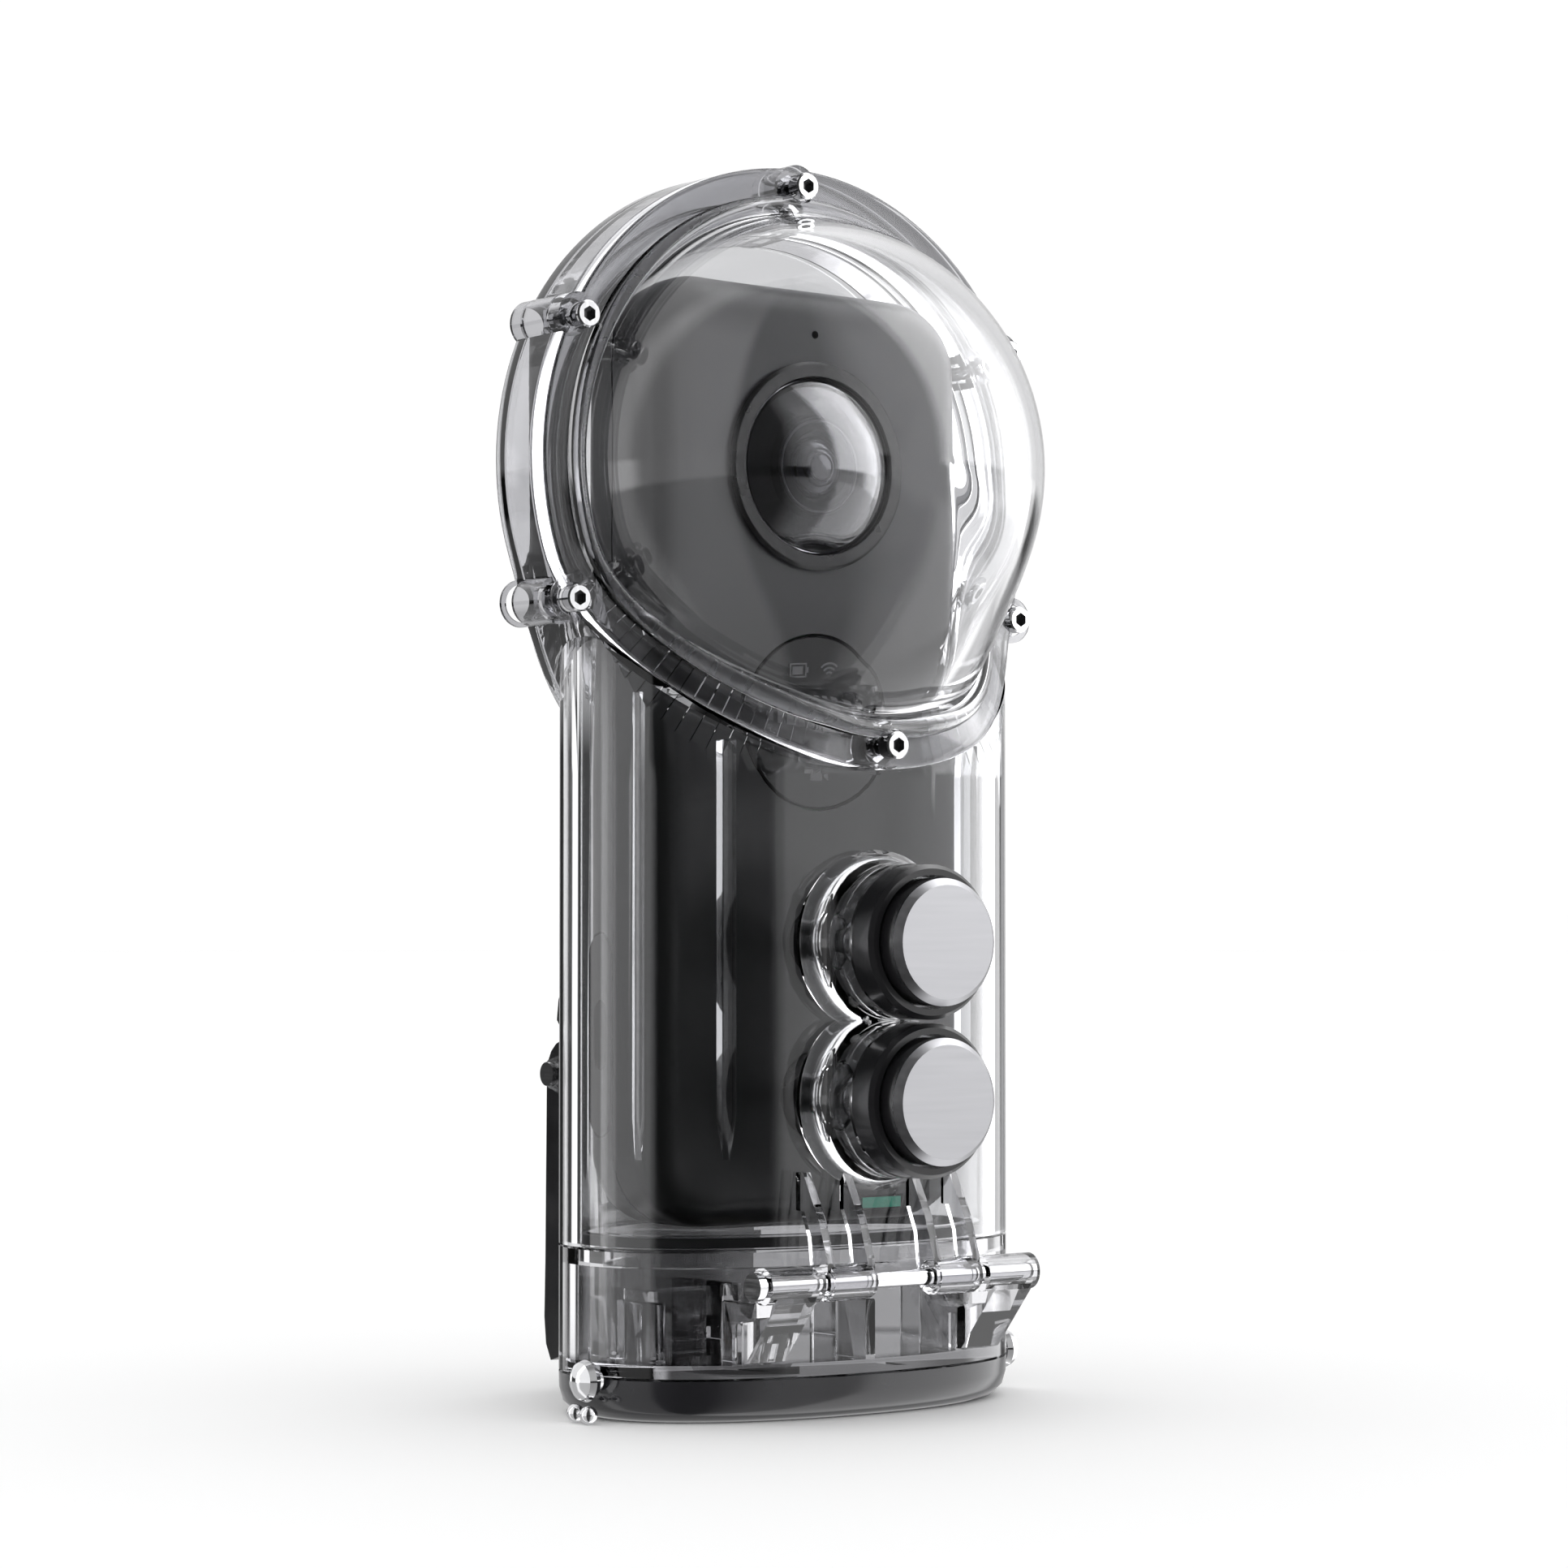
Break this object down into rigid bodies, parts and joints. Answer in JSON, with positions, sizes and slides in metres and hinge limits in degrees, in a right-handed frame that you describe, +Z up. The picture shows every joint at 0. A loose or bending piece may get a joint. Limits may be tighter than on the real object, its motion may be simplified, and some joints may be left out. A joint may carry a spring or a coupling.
{
  "type": "action camera in a dive housing",
  "caption": "Slab action camera with a fisheye lens on each face, sealed in a clear oval dive housing with twin domes, sprung front buttons and a hinged, latched bottom lid.",
  "frame": {"origin": "bottom centre of the bounding box", "axes": "+X right, +Y back, +Z up; the front faces -Y"},
  "size_m": [0.0748, 0.067, 0.1529],
  "materials": {
    "clear_polycarbonate": "clear gloss polycarbonate",
    "polished_steel": "polished",
    "brushed_aluminium": "brushed",
    "black_plastic": "semi-gloss",
    "smoked_base": "gloss, dark smoke",
    "seal_rubber": "translucent silicone",
    "black_rubber": "matte",
    "camera_body": "satin",
    "camera_trim": "gloss",
    "lens_glass": "coated, polished",
    "display_glass": "polished",
    "insert_brass": "machined",
    "status_green": "translucent look",
    "circuit_board": "solder mask",
    "battery_wrap": "wrapped"
  },
  "bodies": {
    "housing": {"housing_body": "clear_polycarbonate", "front_dome": "clear_polycarbonate", "rear_dome": "clear_polycarbonate", "dome_seal": "seal_rubber", "hinge_pin": "polished_steel", "latch_pin": "polished_steel", "button_collar_upper": "black_plastic", "button_collar_lower": "black_plastic", "button_spring_upper": "polished_steel", "button_spring_lower": "polished_steel", "button_seal_upper": "seal_rubber", "button_seal_lower": "seal_rubber", "camera_front_shell": "camera_body", "camera_rear_shell": "camera_body", "lens_ring_front": "camera_trim", "lens_ring_rear": "camera_trim", "lens_dome_front": "lens_glass", "lens_dome_rear": "lens_glass", "lens_barrel_front": "camera_trim", "lens_barrel_rear": "camera_trim", "lens_element_front": "lens_glass", "lens_element_rear": "lens_glass", "display_window": "display_glass", "status_light": "status_green", "usb_panel": "camera_body", "battery_door": "camera_body", "camera_battery": "battery_wrap", "camera_mainboard": "circuit_board", "flange_screw_1": "polished_steel", "flange_screw_2": "polished_steel", "flange_screw_3": "polished_steel", "flange_screw_4": "polished_steel", "flange_screw_5": "polished_steel", "flange_screw_6": "polished_steel", "flange_nut_1": "polished_steel", "flange_nut_2": "polished_steel", "flange_nut_3": "polished_steel", "flange_nut_4": "polished_steel", "flange_nut_5": "polished_steel", "flange_nut_6": "polished_steel"},
    "lid": {"bottom_lid": "clear_polycarbonate", "base_plate": "smoked_base", "tripod_insert": "insert_brass", "lid_seal": "black_rubber", "lanyard_post_left": "polished_steel", "lanyard_post_right": "polished_steel", "lanyard_toggle": "polished_steel"},
    "latch": {"latch_lever": "black_plastic"},
    "lock": {"latch_lock": "black_plastic"},
    "plunger_upper": {"button_cap_upper": "brushed_aluminium", "button_stem_upper": "polished_steel", "button_clip_upper": "polished_steel"},
    "plunger_lower": {"button_cap_lower": "brushed_aluminium", "button_stem_lower": "polished_steel", "button_clip_lower": "polished_steel"},
    "camera_key_upper": {"camera_button_upper": "camera_trim"},
    "camera_key_lower": {"camera_button_lower": "camera_trim"}
  },
  "joints": [
    {"name": "lid_open", "type": "hinge", "parent": "housing", "child": "lid", "pos_m": [0, -0.02369, 0.0168], "axis": [-1, 0, 0], "range_deg": [0, 110]},
    {"name": "latch_swing", "type": "hinge", "parent": "housing", "child": "latch", "pos_m": [0, 0.02591, 0.04], "axis": [1, 0, 0], "range_deg": [0, 100]},
    {"name": "lock_slide", "type": "slide", "parent": "housing", "child": "lock", "axis": [0, 0, 1], "range_m": [0, 0.003]},
    {"name": "plunger_upper_push", "type": "slide", "parent": "housing", "child": "plunger_upper", "axis": [0, 1, 0], "range_m": [0, 0.0016], "stiffness_N_per_m": 600, "springref_m": -0.002, "deforming": ["button_spring_upper"]},
    {"name": "camera_key_upper_push", "type": "slide", "parent": "housing", "child": "camera_key_upper", "axis": [0, 1, 0], "range_m": [0, 0.0008]},
    {"name": "plunger_lower_push", "type": "slide", "parent": "housing", "child": "plunger_lower", "axis": [0, 1, 0], "range_m": [0, 0.0016], "stiffness_N_per_m": 600, "springref_m": -0.002, "deforming": ["button_spring_lower"]},
    {"name": "camera_key_lower_push", "type": "slide", "parent": "housing", "child": "camera_key_lower", "axis": [0, 1, 0], "range_m": [0, 0.0008]}
  ],
  "couplings": [
    {"joint": "camera_key_upper_push", "follows": "plunger_upper_push", "ratio": 0.5},
    {"joint": "camera_key_lower_push", "follows": "plunger_lower_push", "ratio": 0.5}
  ]
}
